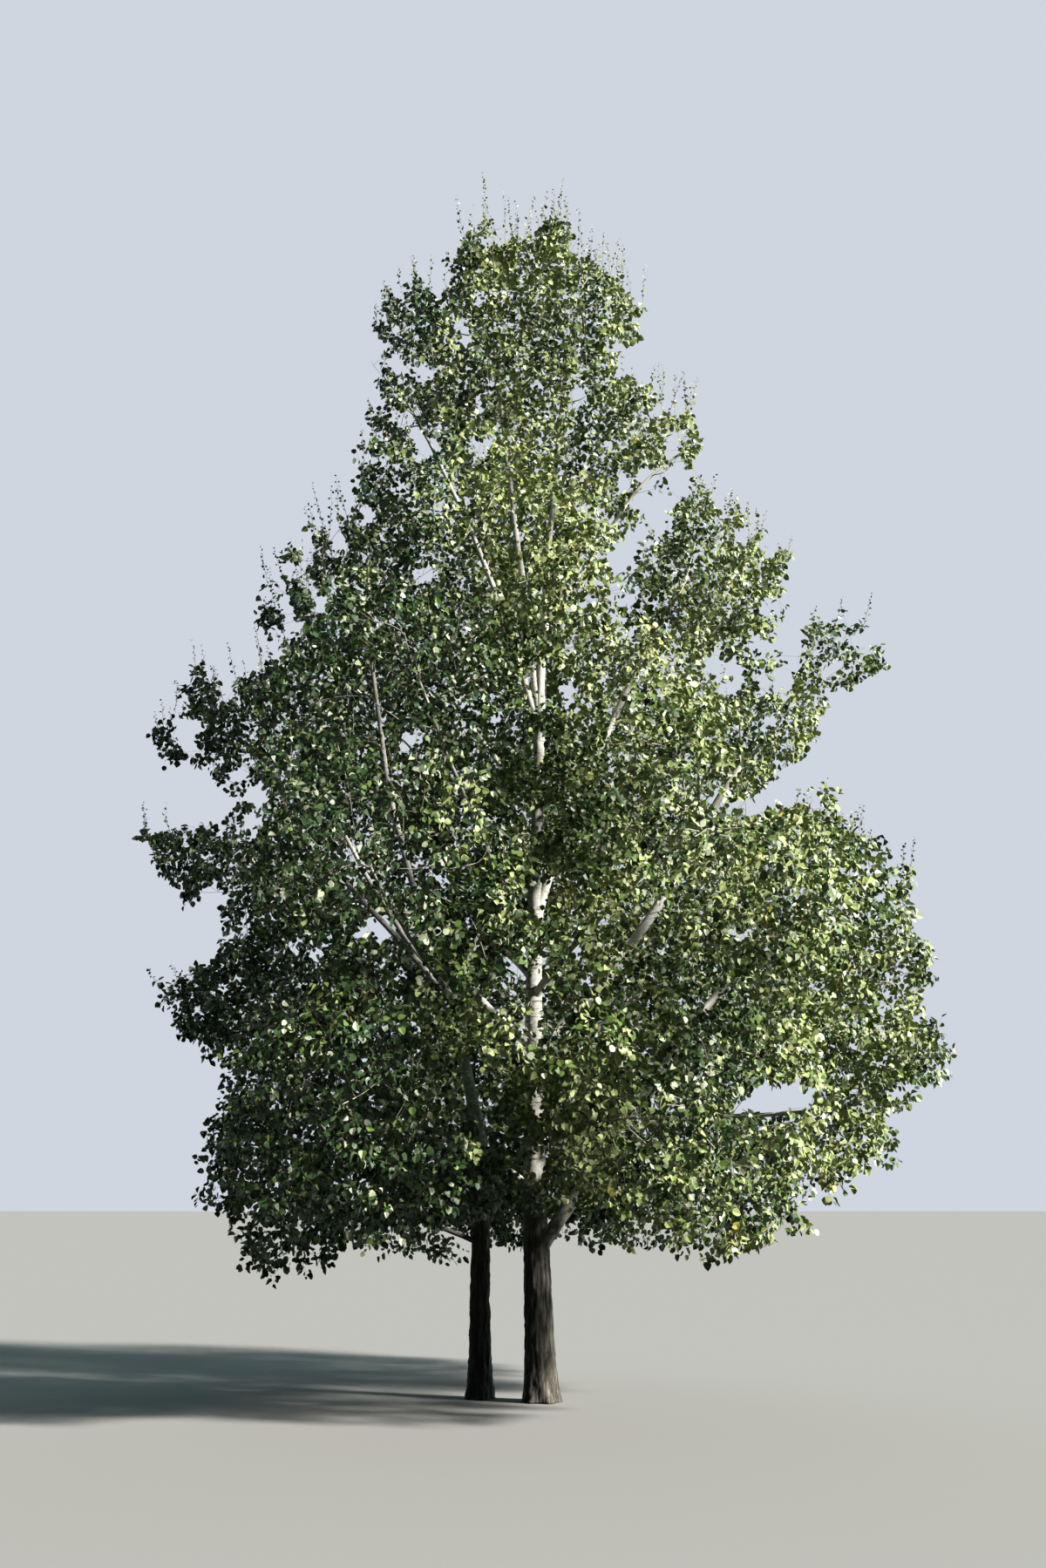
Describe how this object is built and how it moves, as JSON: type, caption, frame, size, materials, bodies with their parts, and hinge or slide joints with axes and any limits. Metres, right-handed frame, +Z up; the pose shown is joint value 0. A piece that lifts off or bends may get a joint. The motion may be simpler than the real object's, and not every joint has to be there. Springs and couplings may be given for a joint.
{
  "type": "quaking aspen tree",
  "caption": "Open-grown aspen with a leaning second stem, ascending boughs and an airy, pointed crown of small round leaves over pale, dark-scarred bark.",
  "frame": {"origin": "middle of the main trunk's flat cut at ground level", "axes": "+Z up; +X to the right and +Y away from someone who faces the front of the tree, the side the picture shows"},
  "size_m": [7.5113, 6.5347, 12],
  "materials": {
    "stem_bark": "matte, pale and smooth above with dark scars, dark and furrowed near the ground",
    "bough_bark": "matte, smooth grey-white with dark scars",
    "leaves": "semi-gloss above, dull and paler below"
  },
  "bodies": {
    "root": {"bough_back_high": "bough_bark", "bough_back_left": "bough_bark", "bough_back_low": "bough_bark", "bough_back_mid_left": "bough_bark", "bough_back_mid_right": "bough_bark", "bough_back_right": "bough_bark", "bough_front_left": "bough_bark", "bough_front_low": "bough_bark", "bough_front_mid_left": "bough_bark", "bough_front_right": "bough_bark", "bough_left_high": "bough_bark", "bough_left_low": "bough_bark", "bough_left_lower": "bough_bark", "bough_left_upper": "bough_bark", "bough_right_big": "bough_bark", "bough_right_droop": "bough_bark", "bough_right_low": "bough_bark", "bough_top_right": "bough_bark", "leader_left": "bough_bark", "leader_low_right": "bough_bark", "leader_middle": "bough_bark", "leader_right": "bough_bark", "leaves_back_high": "leaves", "leaves_back_left_low": "leaves", "leaves_back_middle": "leaves", "leaves_back_middle_left": "leaves", "leaves_back_middle_right": "leaves", "leaves_back_right_low": "leaves", "leaves_back_skirt": "leaves", "leaves_front_centre_low": "leaves", "leaves_front_high_left": "leaves", "leaves_front_high_right": "leaves", "leaves_front_left_low": "leaves", "leaves_front_left_skirt": "leaves", "leaves_front_middle_left": "leaves", "leaves_front_middle_right": "leaves", "leaves_front_right_low": "leaves", "leaves_front_right_skirt": "leaves", "leaves_left_arm_high": "leaves", "leaves_left_arm_low": "leaves", "leaves_left_low": "leaves", "leaves_left_shoulder": "leaves", "leaves_left_skirt": "leaves", "leaves_right_arm_high": "leaves", "leaves_right_arm_low": "leaves", "leaves_right_droop": "leaves", "leaves_right_far_low": "leaves", "leaves_right_low": "leaves", "leaves_right_shoulder": "leaves", "leaves_right_top": "leaves", "leaves_top_far_left": "leaves", "leaves_top_heart": "leaves", "leaves_top_left_spire": "leaves", "leaves_top_right_spire": "leaves", "second_arm_left": "bough_bark", "second_fork_left": "bough_bark", "second_fork_right": "bough_bark", "second_skirt_left": "bough_bark", "second_stem": "stem_bark", "trunk": "stem_bark"}
  },
  "joints": []
}
